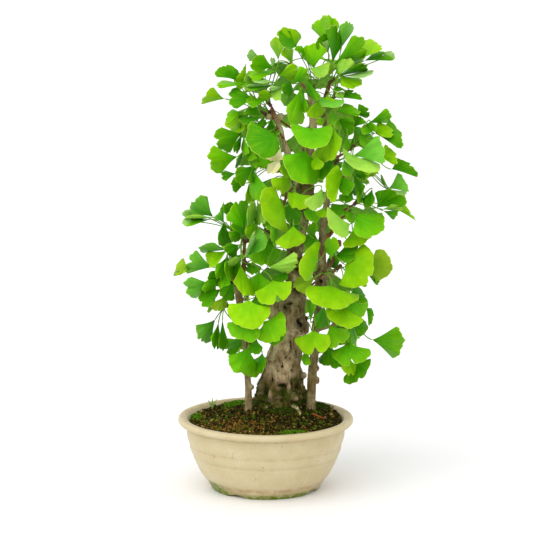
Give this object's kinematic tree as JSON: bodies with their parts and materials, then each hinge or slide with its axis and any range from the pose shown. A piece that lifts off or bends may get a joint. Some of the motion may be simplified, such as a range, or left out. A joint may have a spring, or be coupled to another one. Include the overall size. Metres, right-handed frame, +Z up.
{
  "type": "ginkgo bonsai in a pot",
  "caption": "Ginkgo bonsai: a thick gnarled trunk with two thin trees beside it, fan-shaped green leaves on long stalks, mossy soil, in a round cream glazed bowl pot.",
  "frame": {"origin": "bottom centre of the object's box, on the surface that the pot stands on", "axes": "+Z up along the trunks, -Y the front that shows best, +X to the right seen from the front"},
  "size_m": [0.2914, 0.2338, 0.5683],
  "materials": {
    "glaze": "satin cream glaze, stained towards the foot",
    "net_plastic": "moulded net",
    "wire": "drawn wire",
    "soil_mix": "grains of fired clay, 3 to 6 mm",
    "moss": "short living moss",
    "twig": "smooth young bark",
    "grass": "leaf surface",
    "bark": "furrowed grey-brown bark",
    "leaf": "satin living leaf, paler below"
  },
  "bodies": {
    "root": {"pot": "glaze", "drain_net": "net_plastic", "net_clip": "wire", "soil": "soil_mix", "moss_left": "moss", "moss_rim": "moss", "moss_front": "moss", "moss_right": "moss", "moss_trunk": "moss", "fallen_twig": "twig", "grass_sprig": "grass", "main_trunk": "bark", "right_trunk": "bark", "left_trunk": "bark", "leaf_spray_01": "leaf", "leaf_spray_02": "leaf", "leaf_spray_03": "leaf", "leaf_spray_04": "leaf", "leaf_spray_05": "leaf", "leaf_spray_06": "leaf", "leaf_spray_07": "leaf", "leaf_spray_08": "leaf", "leaf_spray_09": "leaf", "leaf_spray_10": "leaf", "leaf_spray_11": "leaf", "leaf_spray_12": "leaf", "leaf_spray_13": "leaf", "leaf_spray_14": "leaf", "leaf_spray_15": "leaf", "leaf_spray_16": "leaf", "leaf_spray_17": "leaf", "leaf_spray_18": "leaf", "leaf_spray_19": "leaf", "leaf_spray_20": "leaf", "leaf_spray_21": "leaf", "leaf_spray_22": "leaf", "leaf_spray_23": "leaf", "leaf_spray_24": "leaf", "leaf_spray_25": "leaf", "leaf_spray_26": "leaf", "leaf_spray_27": "leaf", "leaf_spray_28": "leaf", "leaf_spray_29": "leaf", "leaf_spray_30": "leaf", "leaf_spray_31": "leaf", "leaf_spray_32": "leaf", "leaf_spray_33": "leaf", "leaf_spray_34": "leaf", "leaf_spray_35": "leaf", "leaf_spray_36": "leaf", "leaf_spray_37": "leaf", "leaf_spray_38": "leaf", "leaf_spray_39": "leaf", "leaf_spray_40": "leaf", "leaf_spray_41": "leaf", "leaf_spray_42": "leaf"}
  },
  "joints": []
}
